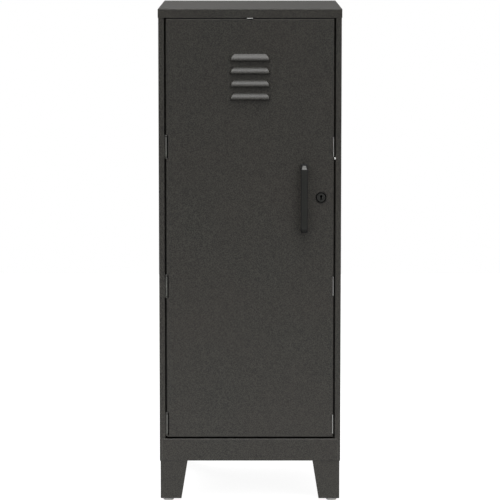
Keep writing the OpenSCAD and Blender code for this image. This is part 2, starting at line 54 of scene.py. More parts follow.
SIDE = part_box("side_panel_left")
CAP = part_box("top_cap")
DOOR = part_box("door_panel")
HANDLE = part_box("door_handle")
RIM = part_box("lock_housing")
FRONT_Y = SIDE[0].y


# ---------- sizes that several pieces share ----------

SHEET = 0.9 * MM
EDGE_R = 1.5 * MM       # outside radius of the door's folds
CAP_R = 2 * MM          # outside radius of the cap's folds
GRID_EDGE = 3 * MM      # from a face's first grid line to its second
TINY = 0.001 * MM       # closer than this is the same place
ROUND = 48              # steps round a turned shape or a drilled hole
FOLD_STEPS = 5          # steps round a fold or a pan's corner
RIM_AT = ((RIM[0].x + RIM[1].x) / 2, FRONT_Y, (RIM[0].z + RIM[1].z) / 2)
CORNERS = ("front_left", "front_right", "rear_left", "rear_right")
HINGES = ("lower", "middle", "upper")


# ---------- mesh helpers ----------

class Skin:
    """Collects faces by their corners' places, so that faces that meet share their corners."""

    def __init__(self):
        self.points, self.index, self.faces = [], {}, []

    def vertex(self, p):
        key = tuple(round(c * 1e7) for c in p)
        if key not in self.index:
            self.index[key] = len(self.points)
            self.points.append(tuple(p))
        return self.index[key]

    def face(self, *corners):
        ids = []
        for i in map(self.vertex, corners):
            if i not in ids:
                ids.append(i)
        if len(ids) > 2:
            self.faces.append(ids)

    def band(self, ring_a, ring_b, closed=False):
        """Joins two rows of points with quads."""
        n = len(ring_a)
        for i in range(n if closed else n - 1):
            j = (i + 1) % n
            self.face(ring_a[i], ring_a[j], ring_b[j], ring_b[i])

    def piece(self, name):
        mesh = bpy.data.meshes.new(name)
        mesh.from_pydata(self.points, [], self.faces)
        mesh.validate()
        return show(name, mesh)


def lathe(skin, profile, centre, out, steps=ROUND):
    """Adds a turned shape round the axis through the centre.

    The profile is (radius, distance out) in millimetres. A third number gives the sides of a polygon
    whose corners are at that radius.
    """
    out = Vector(out)
    across = Vector((1, 0, 0))
    other = out.cross(across)

    def ring(r, t, corners=0):
        middle = Vector(centre) + out * (t * MM)
        points = []
        for k in range(steps):
            a = 2 * math.pi * k / steps
            reach = r * MM
            if corners:
                half = math.pi / corners
                reach *= math.cos(half) / math.cos(a % (2 * half) - half)
            points.append(middle + (across * math.cos(a) + other * math.sin(a)) * reach)
        return points

    rings = [ring(*step) for step in profile]
    for a, b in zip(rings, rings[1:]):
        skin.band(a, b, closed=True)


def show(name, mesh):
    obj = bpy.data.objects.new(name, mesh)
    bpy.context.scene.collection.objects.link(obj)
    return obj


def orient(obj):
    """Turns all the faces of a skin to the same side."""
    bm = bmesh.new()
    bm.from_mesh(obj.data)
    bmesh.ops.recalc_face_normals(bm, faces=bm.faces)
    bm.to_mesh(obj.data)
    bm.free()


def sharpen(obj, degrees):
    """Smooth shading that breaks at edges sharper than the given angle."""
    bm = bmesh.new()
    bm.from_mesh(obj.data)
    bmesh.ops.recalc_face_normals(bm, faces=bm.faces)
    for f in bm.faces:
        f.smooth = True
    for e in bm.edges:
        e.smooth = len(e.link_faces) == 2 and e.calc_face_angle(0) < math.radians(degrees)
    bm.to_mesh(obj.data)
    bm.free()


def apply_modifiers(obj):
    graph = bpy.context.evaluated_depsgraph_get()
    made = bpy.data.meshes.new_from_object(obj.evaluated_get(graph), depsgraph=graph)
    obj.modifiers.clear()
    obj.data = made


def thicken(obj):
    """Turns a skin into sheet metal, grown to its inner side."""
    m = obj.modifiers.new("sheet", "SOLIDIFY")
    m.thickness = SHEET
    m.offset = -1
    m.use_even_offset = True
    apply_modifiers(obj)


def cut(obj, bm):
    """Cuts a closed bmesh out of a closed piece."""
    mesh = bpy.data.meshes.new("cutter")
    bm.to_mesh(mesh)
    bm.free()
    cutter = show("cutter", mesh)
    m = obj.modifiers.new("cut", "BOOLEAN")
    m.operation, m.solver, m.object = "DIFFERENCE", "EXACT", cutter
    apply_modifiers(obj)
    bpy.data.objects.remove(cutter)


def cut_away(obj, boxes):
    """Cuts boxes, given as pairs of corners."""
    bm = bmesh.new()
    for lo, hi in boxes:
        for v in bmesh.ops.create_cube(bm, size=1)["verts"]:
            v.co = Vector(lo[k] + (v.co[k] + 0.5) * (hi[k] - lo[k]) for k in range(3))
    cut(obj, bm)


def drill(obj, x, z, radius):
    """Drills a round hole along Y through the door's face."""
    bm = bmesh.new()
    place = Matrix.Translation((x, FRONT_Y, z)) @ Matrix.Rotation(math.pi / 2, 4, "X")
    bmesh.ops.create_cone(bm, cap_ends=True, segments=ROUND, radius1=radius, radius2=radius,
                          depth=6 * MM, matrix=place)
    cut(obj, bm)


def finish_piece(obj, body, slot, material, *nodes, angle=32):
    """Shades a piece, gives it its material, and hangs it on its CAD body in place of its nodes."""
    sharpen(obj, angle)
    m = obj.modifiers.new("flat", "WEIGHTED_NORMAL")
    m.keep_sharp = True
    obj.data.materials.clear()
    obj.data.materials.append(material)
    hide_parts(*nodes)
    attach(obj, body)


# ---------- materials ----------

def node_material(name, **sockets):
    """A Principled material. Its plain numbers and colours sit on the shader's own sockets."""
    mat = bpy.data.materials.new(name)
    mat.use_nodes = True
    shader = mat.node_tree.nodes["Principled BSDF"]
    for socket, value in sockets.items():
        shader.inputs[socket.replace("_", " ")].default_value = value
    return mat, mat.node_tree, shader


def add(tree, kind, links=(), **settings):
    """Adds a node: links are (input, output socket) pairs, and settings are properties or inputs."""
    node = tree.nodes.new(kind)
    for key, value in settings.items():
        if hasattr(node, key):
            setattr(node, key, value)
        else:
            node.inputs[key.replace("_", " ")].default_value = value
    for socket, source in links:
        tree.links.new(node.inputs[socket], source)
    return node


def grain(tree, place, scale, detail=3.0, roughness=0.55):
    return add(tree, "ShaderNodeTexNoise", [("Vector", place)],
               Scale=scale, Detail=detail, Roughness=roughness).outputs["Fac"]


def spread(tree, value, low, high, to_low, to_high):
    """Maps low..high of a value to to_low..to_high, and holds it there outside."""
    node = add(tree, "ShaderNodeMapRange", [("Value", value)])
    ends = {"From Min": low, "From Max": high, "To Min": to_low, "To Max": to_high}
    for socket, number in ends.items():
        node.inputs[socket].default_value = number
    return node.outputs["Result"]


def calculated(tree, operation, *values):
    return add(tree, "ShaderNodeMath", list(enumerate(values)), operation=operation).outputs[0]


def place_of(tree):
    """The place on the object, in metres from its origin."""
    return add(tree, "ShaderNodeTexCoord").outputs["Object"]


def part_of(tree, vector, axis):
    return add(tree, "ShaderNodeSeparateXYZ", [(0, vector)]).outputs[axis]


def blended(tree, amount, a, b):
    """Mixes two colours; each is a colour or an output socket."""
    node = add(tree, "ShaderNodeMix", [(0, amount)], data_type="RGBA")
    colour_a, colour_b, colour_out = node.inputs[6], node.inputs[7], node.outputs[2]
    for socket, colour in ((colour_a, a), (colour_b, b)):
        if isinstance(colour, tuple):
            socket.default_value = (*colour, 1)
        else:
            tree.links.new(socket, colour)
    return colour_out


def worn_and_highlit_edges(tree, radius):
    """1 where the surface turns sharply within the radius, 0 on flats."""
    bevel = add(tree, "ShaderNodeBevel", samples=4, Radius=radius)
    normal = add(tree, "ShaderNodeNewGeometry").outputs["Normal"]
    both = [(0, bevel.outputs["Normal"]), (1, normal)]
    likeness = add(tree, "ShaderNodeVectorMath", both, operation="DOT_PRODUCT").outputs["Value"]
    return spread(tree, likeness, 0.995, 0.80, 0, 1)


def normal_part(tree, axis):
    """The surface normal's part along one of the object's own axes, -1 to 1."""
    normal = add(tree, "ShaderNodeTexCoord").outputs["Normal"]
    return part_of(tree, normal, axis)


def facing(tree, axis):
    """How much the surface faces along an axis, either way: 0 to 1."""
    return calculated(tree, "ABSOLUTE", normal_part(tree, axis))


def bump(tree, shader, height, strength, distance, normal=None):
    """Gives the shader a bump, on top of another bump's normal if there is one."""
    links = [("Height", height)] + ([("Normal", normal)] if normal else [])
    node = add(tree, "ShaderNodeBump", links, Strength=strength, Distance=distance)
    tree.links.new(shader.inputs["Normal"], node.outputs["Normal"])
    return node.outputs["Normal"]


def powder_coat():
    """Charcoal powder coat: fine pebbles, dark and light speckle, and folds made lighter, partly worn
    by rubbing and partly a painted highlight.
    """
    mat, tree, shader = node_material("charcoal_powder_coat", Specular_IOR_Level=0.5)
    place = place_of(tree)
    pebbles = grain(tree, place, 1100, detail=2)
    speckle = grain(tree, place, 620, detail=3, roughness=0.6)
    broad = grain(tree, place, 5, detail=2)
    dark, light = (0.0020, 0.0019, 0.0015), (0.0340, 0.0326, 0.0262)
    warm, highlight_tone = (0.0240, 0.0170, 0.0135), (0.085, 0.083, 0.077)
    colour = blended(tree, spread(tree, speckle, 0.43, 0.57, 0, 1), dark, light)
    colour = blended(tree, spread(tree, broad, 0.3, 0.7, 0, 0.25), colour, warm)
    # the pale tone on the folds is partly worn paint and partly a painted highlight where the folds
    # catch the light
    patchy = spread(tree, speckle, 0.35, 0.7, 0.3, 0.9)
    wear_and_highlight = calculated(tree, "MULTIPLY", worn_and_highlit_edges(tree, 1.3 * MM), patchy)
    colour = blended(tree, wear_and_highlight, colour, highlight_tone)
    tree.links.new(shader.inputs["Base Color"], colour)
    tree.links.new(shader.inputs["Roughness"], spread(tree, speckle, 0.25, 0.75, 0.41, 0.53))
    sheet_wave = bump(tree, shader, broad, 0.10, 4 * MM)
    bump(tree, shader, pebbles, 0.30, 0.2 * MM, sheet_wave)
    return mat


def plastic_grain(tree, shader, colour, shade, roughness):
    """Fine grain as a bump. Gives the place, the grained colour and the grained roughness."""
    place = place_of(tree)
    fine = grain(tree, place, 700)
    surface = blended(tree, spread(tree, fine, 0.3, 0.7, 0, 1), colour, shade)
    bump(tree, shader, fine, 0.25, 0.12 * MM)
    return place, surface, spread(tree, fine, 0.25, 0.75, roughness, roughness + 0.1)


def moulded_plastic(name, colour, shade, roughness):
    mat, tree, shader = node_material(name, Specular_IOR_Level=0.5)
    _, surface, sheen = plastic_grain(tree, shader, colour, shade, roughness)
    tree.links.new(shader.inputs["Base Color"], surface)
    tree.links.new(shader.inputs["Roughness"], sheen)
    return mat


def handle_plastic():
    """Black grained plastic, with a painted highlight in grey on its upper slope, and painted shade,
    near black, round its outline and at the tips of its feet.
    """
    colour, shade = (0.0070, 0.0074, 0.0062), (0.0115, 0.0119, 0.0102)
    # grey for the painted highlight, near black for the painted shade, and the roughness of the shaded
    # outline
    highlight_tone, painted_shade, matt = (0.095, 0.095, 0.091), (0.0010, 0.0010, 0.0010), 0.8
    tip_from, tip_to = 3.2 * MM, 2.4 * MM
    mat, tree, shader = node_material("black_handle_plastic", Specular_IOR_Level=0.40)
    place, surface, sheen = plastic_grain(tree, shader, colour, shade, 0.36)
    # painted highlight where the surface faces upwards, on the upper slope
    upwards = spread(tree, normal_part(tree, "Z"), 0.4, 0.7, 0, 1)
    surface = blended(tree, upwards, surface, highlight_tone)
    # painted shade on the tips of the feet and on the sides that face along X
    height = part_of(tree, place, "Z")
    low_tip = spread(tree, height, HANDLE[0].z + tip_to, HANDLE[0].z + tip_from, 1, 0)
    high_tip = spread(tree, height, HANDLE[1].z - tip_from, HANDLE[1].z - tip_to, 0, 1)
    sides = spread(tree, facing(tree, "X"), 0.10, 0.40, 0, 1)
    outline = calculated(tree, "MAXIMUM", calculated(tree, "MAXIMUM", low_tip, high_tip), sides)
    tree.links.new(shader.inputs["Base Color"], blended(tree, outline, surface, painted_shade))
    dull = spread(tree, outline, 0, 1, 0, matt)
    tree.links.new(shader.inputs["Roughness"], calculated(tree, "MAXIMUM", dull, sheen))
    return mat


def plated_steel(name, colour, shade, roughness, metallic=1.0, gloss=0.5, recess=None):
    """Plated steel with drawn grain along Z and cloudy patches.

    The recess colour, if given, is a painted shade: it darkens slopes and recesses in a face that looks
    to the front, where shade falls.
    """
    mat, tree, shader = node_material(name, Metallic=metallic, Specular_IOR_Level=gloss)
    place = place_of(tree)
    drawn = add(tree, "ShaderNodeMapping", [("Vector", place)])
    drawn.inputs["Scale"].default_value = (1, 1, 0.08)
    lines = grain(tree, drawn.outputs["Vector"], 2200, detail=2)
    cloud = grain(tree, place, 260, detail=3)
    surface = blended(tree, spread(tree, cloud, 0.35, 0.65, 0, 1), colour, shade)
    # painted shade on slopes and on whatever lies deeper than the door's face
    if recess:
        slope = spread(tree, facing(tree, "Y"), 0.93, 0.70, 0, 1)
        deep = spread(tree, part_of(tree, place, "Y"), FRONT_Y - 1.2 * MM, FRONT_Y, 0, 1)
        surface = blended(tree, calculated(tree, "MAXIMUM", slope, deep), surface, recess)
    tree.links.new(shader.inputs["Base Color"], surface)
    sheen = spread(tree, lines, 0.3, 0.7, roughness, roughness + 0.14)
    tree.links.new(shader.inputs["Roughness"], sheen)
    bump(tree, shader, lines, 0.2, 0.05 * MM)
    return mat


COAT = powder_coat()
HANDLE_MAT = handle_plastic()
# the lock's near-black recess colour is painted shade in its keyway and groove
LOCK_MAT = plated_steel("black_lock_plating", (0.0150, 0.0152, 0.0138), (0.0205, 0.0205, 0.0186), 0.42,
                        metallic=0.0, gloss=0.26, recess=(0.0008, 0.0008, 0.0008))
ZINC = plated_steel("zinc_plate", (0.37, 0.37, 0.36), (0.28, 0.28, 0.27), 0.42)
# darker and lighter copies of the same zinc plating: painted shade on the hinges, painted highlight on
# the filler leaves
SHADED_ZINC = plated_steel("zinc_plate_painted_shade", (0.180, 0.180, 0.168), (0.130, 0.130, 0.120), 0.48)
LIT_ZINC = plated_steel("zinc_plate_painted_highlight", (0.62, 0.62, 0.60), (0.50, 0.50, 0.48), 0.36)
NYLON = moulded_plastic("white_nylon", (0.92, 0.92, 0.90), (0.87, 0.87, 0.85), 0.42)
PAD_MAT = moulded_plastic("pale_grey_nylon", (0.50, 0.50, 0.49), (0.44, 0.44, 0.43), 0.45)

MATERIAL_OF_SLOT = {
    "powder_coat": COAT,
    "handle_plastic": HANDLE_MAT,
    "lock_black": LOCK_MAT,
    "zinc_plate": ZINC,
    "white_nylon": NYLON,
    "glide_grey": PAD_MAT,
}
MATERIAL_OF_NODE = {f"door_hinge_{hinge}": SHADED_ZINC for hinge in HINGES}
MATERIAL_OF_NODE["spare_hinge_leaves"] = LIT_ZINC

for part in frame["record"]["subparts"]:
    material = MATERIAL_OF_NODE.get(part["node"], MATERIAL_OF_SLOT[part["material_slot"]])
    for used in frame["nodes"][part["node"]].material_slots:
        used.material = material


# ---------- folded pans ----------

class Pan:
    """A folded pan on a face plane: u and v lie in the face, and w is the depth behind it.

    place(u, v, w) turns those into the object's frame. lines_u and lines_v are the face's grid
    lines, whose first and last lines are one fold radius inside the pan's outline.
    """

    def __init__(self, place, lines_u, lines_v, radius, skin=None):
        self.place, self.lines_u, self.lines_v = place, lines_u, lines_v
        self.radius = radius
        self.skin = skin or Skin()

    def ring(self, out, depth):
        """Points round the pan, at a distance outside the face's last grid lines, or inside them."""
        u0, u1, v0, v1 = self.lines_u[0], self.lines_u[-1], self.lines_v[0], self.lines_v[-1]
        inset = max(-out, 0)

        def hold(t, low, high):
            return min(max(t, low + inset), high - inset)

        points = []
        sides = (
            ([(u, v0) for u in self.lines_u], (0, -1), 270),
            ([(u1, v) for v in self.lines_v], (1, 0), 0),
            ([(u, v1) for u in reversed(self.lines_u)], (0, 1), 90),
            ([(u0, v) for v in reversed(self.lines_v)], (-1, 0), 180),
        )
        for side, (du, dv), start in sides:
            for u, v in side:
                points.append((hold(u, u0, u1) + du * out, hold(v, v0, v1) + dv * out))
            if out > 0:
                cu, cv = side[-1]
                for k in range(1, FOLD_STEPS):
                    a = math.radians(start + 90 * k / FOLD_STEPS)
                    points.append((cu + out * math.cos(a), cv + out * math.sin(a)))
            else:
                points += [points[-1]] * (FOLD_STEPS - 1)
        return [self.place(u, v, depth) for u, v in points]

    def sides(self, depth, lip=0.0):
        """The fold round the face, the walls and, with a lip, the turned-in back edges."""
        r = self.radius
        quarter = [math.pi / 2 * k / FOLD_STEPS for k in range(FOLD_STEPS + 1)]
        path = [(r * math.sin(a), r - r * math.cos(a)) for a in quarter]
        if lip:
            path += [(r * math.cos(a), depth - r + r * math.sin(a)) for a in quarter]
            path.append((r - lip, depth))
        else:
            path.append((r, depth))
        rings = [self.ring(out, w) for out, w in path]
        for a, b in zip(rings, rings[1:]):
            self.skin.band(a, b, closed=True)

    def face(self):
        rows = [[self.place(u, v, 0) for u in self.lines_u] for v in self.lines_v]
        for a, b in zip(rows, rows[1:]):
            self.skin.band(a, b)


# ---------- door ----------

DOOR_DEPTH = 20 * MM
DOOR_LIP = 10 * MM
LOUVRES = 4
LOUVRE_PITCH = 26.8 * MM
LOUVRE_DROP = 72.5 * MM         # from the door's top edge to the first louvre
LOUVRE_H = 12.8 * MM
LOUVRE_HALF_TOP = 33 * MM
LOUVRE_HALF_MOUTH = 42.6 * MM
LOUVRE_REACH = FRONT_Y - DOOR[0].y
LOUVRE_END = 3.8 * MM           # over which a hood's ends rise at its mouth
MOUTH_GAP = 1.0 * MM
MARGIN_LINES = (120 * MM, 60 * MM)      # grid lines beside the louvres
CREASE_W = 1.5 * MM             # width and depth of the crease round a hood
CREASE_D = 0.3 * MM
NOTCH_D = 6.5 * MM
BARREL_NOTCH = (4.5 * MM, 24.2 * MM)    # width and half height
LEAF_NOTCH = (2.6 * MM, 20.5 * MM)
BUMPER_NOTCH = (6 * MM, 4 * MM, 2.5 * MM)   # half width, depth and height
LOCK_HOLE_R = 9.1 * MM


def bulge(t):
    """Height of a pressed form, 0 to 1, over a run of 0 to 1: steep at first, then level."""
    t = min(max(t, 0.0), 1.0)
    return math.sin(math.pi / 2 * t) ** 0.96


def shoulder(t):
    """Height of a hood near its ends, 0 to 1, over a run of 0 to 1."""
    t = min(max(t, 0.0), 1.0)
    return math.sin(math.pi / 2 * t) ** 0.9


def louvre_columns():
    """Places across a louvre, -1 to 1, close together at its ends."""
    end = LOUVRE_END / LOUVRE_HALF_MOUTH
    ends = [end * (k / 9) ** 1.25 for k in range(10)]
    middle = [end + (2 - 2 * end) * k / 8 for k in range(1, 8)]
    across = ends + middle + [2 - t for t in reversed(ends)]
    return [t - 1 for t in across]


def louvre_rows():
    """Places down a louvre, 0 to 1, close together at its top."""
    return [(k / 12) ** 1.3 for k in range(13)]


def door_place(u, v, w):
    return (u, FRONT_Y + w, v)


def door_face():
    """Skin of the door's face, with louvres pressed outwards and open at their lower edges."""
    half = DOOR[1].x - EDGE_R
    bottom, top = DOOR[0].z + EDGE_R, DOOR[1].z - EDGE_R
    columns = louvre_columns()
    margin_u = [-half, -half + GRID_EDGE] + [-u for u in MARGIN_LINES]

    def row_points(z, half_width, heights=None):
        """One row of the face: the margins, a crease at each end, and the louvre's columns."""
        points = [(u, FRONT_Y, z) for u in margin_u + [-half_width - CREASE_W]]
        for k, t in enumerate(columns):
            points.append((t * half_width, FRONT_Y - (heights[k] if heights else 0), z))
        return points + [(-u, y, z) for u, y, z in reversed(points[: len(margin_u) + 1])]

    first = len(margin_u) + 1
    last_column = first + len(columns) - 1
    flat_rows = [bottom, bottom + GRID_EDGE]
    flat_rows += [bottom + (top - bottom) * k / 8 for k in range(1, 7)]
    tops = [DOOR[1].z - LOUVRE_DROP - k * LOUVRE_PITCH for k in range(LOUVRES)]

    skin = Skin()
    rows = [row_points(z, LOUVRE_HALF_TOP) for z in flat_rows]
    for a, b in zip(rows, rows[1:]):
        skin.band(a, b)
    last = rows[-1]
    for z_top in sorted(tops):
        # flat sheet up to the slot, then the hood from its lip up to the crease above it
        edge = row_points(z_top - LOUVRE_H - MOUTH_GAP, LOUVRE_HALF_MOUTH)
        skin.band(last, edge)
        last = None
        for s in reversed(louvre_rows()):
            # the outline widens quickly at first, and the ends rise over less of it at the top
            width = LOUVRE_HALF_TOP + (LOUVRE_HALF_MOUTH - LOUVRE_HALF_TOP) * (1 - (1 - s) ** 2)
            end = LOUVRE_END / LOUVRE_HALF_MOUTH * (0.45 + 0.55 * s)
            rise = [bulge(s) * shoulder((1 - abs(t)) / end) for t in columns]
            heights = [r * LOUVRE_REACH - (1 - r) * CREASE_D for r in rise]
            now = row_points(z_top - s * LOUVRE_H, width, heights)
            if last:
                skin.band(last, now)
            else:
                # beside the slot the sheet carries on
                skin.band(edge[: first + 1], now[: first + 1])
                skin.band(edge[last_column:], now[last_column:])
            last = now
        above = row_points(z_top + CREASE_W, LOUVRE_HALF_TOP)
        skin.band(last, above)
        last = above
    for z in (top - GRID_EDGE, top):
        now = row_points(z, LOUVRE_HALF_TOP)
        skin.band(last, now)
        last = now
    return skin


def cut_notches(door):
    """Notches for the hinge barrels on the left, the filler leaves on the right, and the top bumper."""
    notches = []
    for hinge in HINGES:
        lo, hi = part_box(f"door_hinge_{hinge}")
        middle = (lo.z + hi.z) / 2
        for side, (width, half) in ((-1, BARREL_NOTCH), (1, LEAF_NOTCH)):
            left, right = sorted((side * (DOOR[1].x - width), side * (DOOR[1].x + MM)))
            low, high = middle - half, middle + half
            notches.append(((left, FRONT_Y - MM, low), (right, FRONT_Y + NOTCH_D, high)))
    half, depth, height = BUMPER_NOTCH
    top = DOOR[1].z
    notches.append(((-half, FRONT_Y - MM, top - height), (half, FRONT_Y + depth, top + MM)))
    cut_away(door, notches)


def build_door():
    """Door pan in one folded sheet."""
    skin = door_face()
    last_x, last_z = DOOR[1].x - EDGE_R, DOOR[1].z - EDGE_R
    lines_u = sorted({x for x, _, z in skin.points if abs(z - last_z) < TINY})
    lines_v = sorted({z for x, _, z in skin.points if abs(x - last_x) < TINY})
    pan = Pan(door_place, lines_u, lines_v, EDGE_R, skin=skin)
    pan.sides(DOOR_DEPTH, DOOR_LIP)
    door = pan.skin.piece("door_skin")
    orient(door)
    thicken(door)
    cut_notches(door)
    drill(door, RIM_AT[0], RIM_AT[2], LOCK_HOLE_R)
    return door


finish_piece(build_door(), "door", "powder_coat", COAT, "door_panel")


# ---------- top cap ----------

def cap_place(u, v, w):
    return (u, v, CAP[1].z - w)


def grid_lines(low, high):
    """First two and last two grid lines of a face between two folds."""
    return [low, low + GRID_EDGE, high - GRID_EDGE, high]


def build_cap():
    """Shallow tray over the body, its edges folded down."""
    lines_u = grid_lines(CAP_R - CAP[1].x, CAP[1].x - CAP_R)
    lines_v = grid_lines(CAP[0].y + CAP_R, CAP[1].y - CAP_R)
    pan = Pan(cap_place, lines_u, lines_v, CAP_R)
    pan.face()
    pan.sides(CAP[1].z - CAP[0].z)
    cap = pan.skin.piece("cap_skin")
    orient(cap)
    thicken(cap)
    return cap


finish_piece(build_cap(), "cabinet", "powder_coat", COAT, "top_cap")


# ---------- handle ----------

def bar_section(width, thick, chamfer):
    """Section of the bow: a flat back with small radii, and a front with its corners cut off."""
    w, h, c, r = width / 2, thick / 2, chamfer, 1.2 * MM
    right = [
        (w - r, -h), (w - r * 0.3, -h + r * 0.3), (w, -h + r),
        (w, h - c * 0.8), (w - c * 0.12, h - c * 0.42), (w - c * 0.42, h - c * 0.12), (w - c * 0.8, h),
    ]
    return right + [(0, h)] + [(-x, y) for x, y in reversed(right)]


def build_handle():
    """Bow pull: two feet, sloping shoulders that narrow towards the feet, and a straight bar."""
    lo, hi = HANDLE
    mid_x, mid_z = (lo.x + hi.x) / 2, (lo.z + hi.z) / 2
    half, reach = (hi.z - lo.z) / 2, FRONT_Y - lo.y
    width = hi.x - lo.x
    # upper half of the bow: outer point, inner point (distance out, height) and chamfer
    stations = [
        ((0, half), (0, half - 13 * MM), 3.0),
        ((15.5 * MM, half), (5 * MM, half - 13.5 * MM), 3.0),
        ((16.6 * MM, half - 0.25 * MM), (8.5 * MM, half - 14.0 * MM), 3.2),
        ((17.3 * MM, half - 0.9 * MM), (11 * MM, half - 14.5 * MM), 4.2),
        ((17.8 * MM, half - 2.0 * MM), (13 * MM, half - 15.0 * MM), 5.8),
        ((18.8 * MM, half - 2.9 * MM), (14.5 * MM, half - 15.4 * MM), 6.0),
        ((reach - 1.6 * MM, half - 8.4 * MM), (reach - 9.4 * MM, half - 18 * MM), 3.4),
        ((reach - 0.6 * MM, half - 9.4 * MM), (reach - 8.6 * MM, half - 20.5 * MM), 3.2),
        ((reach, half - 10.8 * MM), (reach - 8.1 * MM, half - 23 * MM), 3.0),
        ((reach, half - 15.5 * MM), (reach - 8 * MM, half - 26 * MM), 2.9),
        ((reach, half - 45 * MM), (reach - 8 * MM, half - 45 * MM), 2.9),
    ]
    path = stations + [((a, -b), (c, -d), e) for (a, b), (c, d), e in reversed(stations)]
    skin = Skin()
    rings = []
    for outer, inner, chamfer in path:
        outer, inner = Vector(outer), Vector(inner)
        thick = (outer - inner).length
        unit = (outer - inner) / thick
        middle = (outer + inner) / 2
        ring = []
        for x, h in bar_section(width, thick, chamfer * MM):
            at = middle + unit * h
            ring.append((mid_x + x, FRONT_Y - at.x, mid_z + at.y))
        rings.append(ring)
    for a, b in zip(rings, rings[1:]):
        skin.band(a, b, closed=True)
    skin.face(*rings[0])
    skin.face(*rings[-1])
    return skin.piece("bow_handle")


finish_piece(build_handle(), "door", "handle_plastic", HANDLE_MAT, "door_handle", angle=28)


# ---------- lock ----------

OUT_OF_DOOR = (0, -1, 0)
KEYWAY = ((2.4, 0.8, 4.9), (1.6, -4.9, 1.2))    # half width, lowest and highest, in millimetres
KEYWAY_D = 12 * MM


def build_lock():
    """Housing with a rolled lip, a groove and a flat face round the core."""
    skin = Skin()
    lathe(skin, [
        (6.05, -20.8), (6.05, 1.8), (6.2, 2.0), (8.7, 2.0), (8.9, 1.85), (9.35, 0.9), (9.8, 0.35),
        (10.2, 0.35), (10.6, 0.9), (10.9, 1.8), (11.0, 2.05), (11.1, 2.05), (11.25, 1.6), (11.25, 0),
        (8.9, 0), (8.9, -20.8), (6.05, -20.8),
    ], RIM_AT, OUT_OF_DOOR, 64)
    return skin.piece("lock_rim")


def build_plug():
    """Core with its keyway, and the square that drives the cam."""
    skin = Skin()
    lathe(skin, [
        (0, 1.95), (5.6, 1.95), (5.85, 1.8), (6.0, 1.5), (6.0, -21.4),
        (4.95, -21.4, 4), (4.95, -25, 4), (0, -25),
    ], RIM_AT, OUT_OF_DOOR)
    plug = skin.piece("lock_core_face")
    orient(plug)
    x, y, z = RIM_AT
    front, end = y - 3 * MM, y + KEYWAY_D
    for half_w, low, high in KEYWAY:
        left, right = x - half_w * MM, x + half_w * MM
        cut_away(plug, [((left, front, z + low * MM), (right, end, z + high * MM))])
    return plug


finish_piece(build_lock(), "door", "lock_black", LOCK_MAT, "lock_housing")
finish_piece(build_plug(), "lock_core", "lock_black", LOCK_MAT, "lock_plug")


# ---------- bumper in the gap beside the door ----------

def build_side_bumper():
    """Rounded nylon button, a little slimmer and shorter than the block that stands for it."""
    lo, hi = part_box("side_bumper")
    width, radius, depth = 2.2 * MM, 0.6 * MM, hi.y - lo.y
    low, high = lo.z + 0.5 * MM, hi.z - 1.2 * MM

    def place(u, v, w):
        return (u, lo.y + w, v)

    lines_u = [hi.x - width + radius, hi.x - radius]
    pan = Pan(place, lines_u, [low + radius, high - radius], radius)
    pan.face()
    pan.sides(depth)
    pan.skin.face(*pan.ring(radius, depth))
    return pan.skin.piece("button_bumper")


finish_piece(build_side_bumper(), "cabinet", "white_nylon", NYLON, "side_bumper")


# ---------- fasteners ----------

BACKWARDS = (0, 1, 0)
UPWARDS = (0, 0, 1)


def shank(end, tip_r, radius, bevel):
    """Profile of a screw's shank, from its bevelled end up to the seat of its head at 0."""
    return [(0, end), (tip_r, end), (radius, end + bevel), (radius, 0)]


def cross_recess(obj, x, z, size, depth, face):
    """Cuts a cross into a screw head that stands out of the door's inside to the given face."""
    for half_w, half_h in ((size / 2, size / 8), (size / 8, size / 2)):
        low, high = (x - half_w, face - depth, z - half_h), (x + half_w, face + MM, z + half_h)
        cut_away(obj, [(low, high)])


def build_rivets():
    """Blind rivets: a low dome with the hole left by the pulled pin, and the swelling inside."""
    lo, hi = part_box("back_rivets")
    radius, rows = 3.2 * MM, 5
    swelling = [(0, -2.6), (1.9, -2.6), (2.3, -2.3), (2.4, -1.8), (1.6, -1.75), (1.6, 0)]
    dome = [(3.2, 0), (3.2, 0.15), (2.9, 0.45), (2.3, 0.68), (1.6, 0.8), (1.0, 0.82)]
    pin_hole = [(0.85, 0.7), (0.8, 0.2), (0, 0.15)]
    skin = Skin()
    for side in (-1, 1):
        for k in range(rows):
            z = lo.z + radius + (hi.z - lo.z - 2 * radius) * k / (rows - 1)
            at = (side * (hi.x - radius), SIDE[1].y, z)
            lathe(skin, swelling + dome + pin_hole, at, BACKWARDS, steps=32)
    return skin.piece("rivets")


def build_leg_bolts():
    """Button-head bolts with a hexagon socket, their heads on the floor pan."""
    lo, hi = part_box("leg_bolts")
    head_h = 3.3
    seat = hi.z - head_h * MM
    from_side, from_end = (15 * MM, 43 * MM), 40 * MM
    button = [(6.0, 0), (6.0, 0.5), (5.6, 1.5), (4.9, 2.3), (4.0, 2.95), (3.2, 3.25), (2.6, head_h)]
    socket = [(2.35, 3.2, 6), (2.3, 1.4, 6), (0, 1.1)]
    profile = shank((lo.z - seat) / MM, 2.7, 3.0, 0.3) + button + socket
    skin = Skin()
    for corner in CORNERS:
        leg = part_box(f"leg_{corner}")
        side = -1 if "left" in corner else 1
        outer = leg[0].x if side < 0 else leg[1].x
        y = leg[0].y + from_end if "front" in corner else leg[1].y - from_end
        for inset in from_side:
            lathe(skin, profile, (outer - side * inset, y, seat), UPWARDS)
    return skin.piece("socket_bolts")


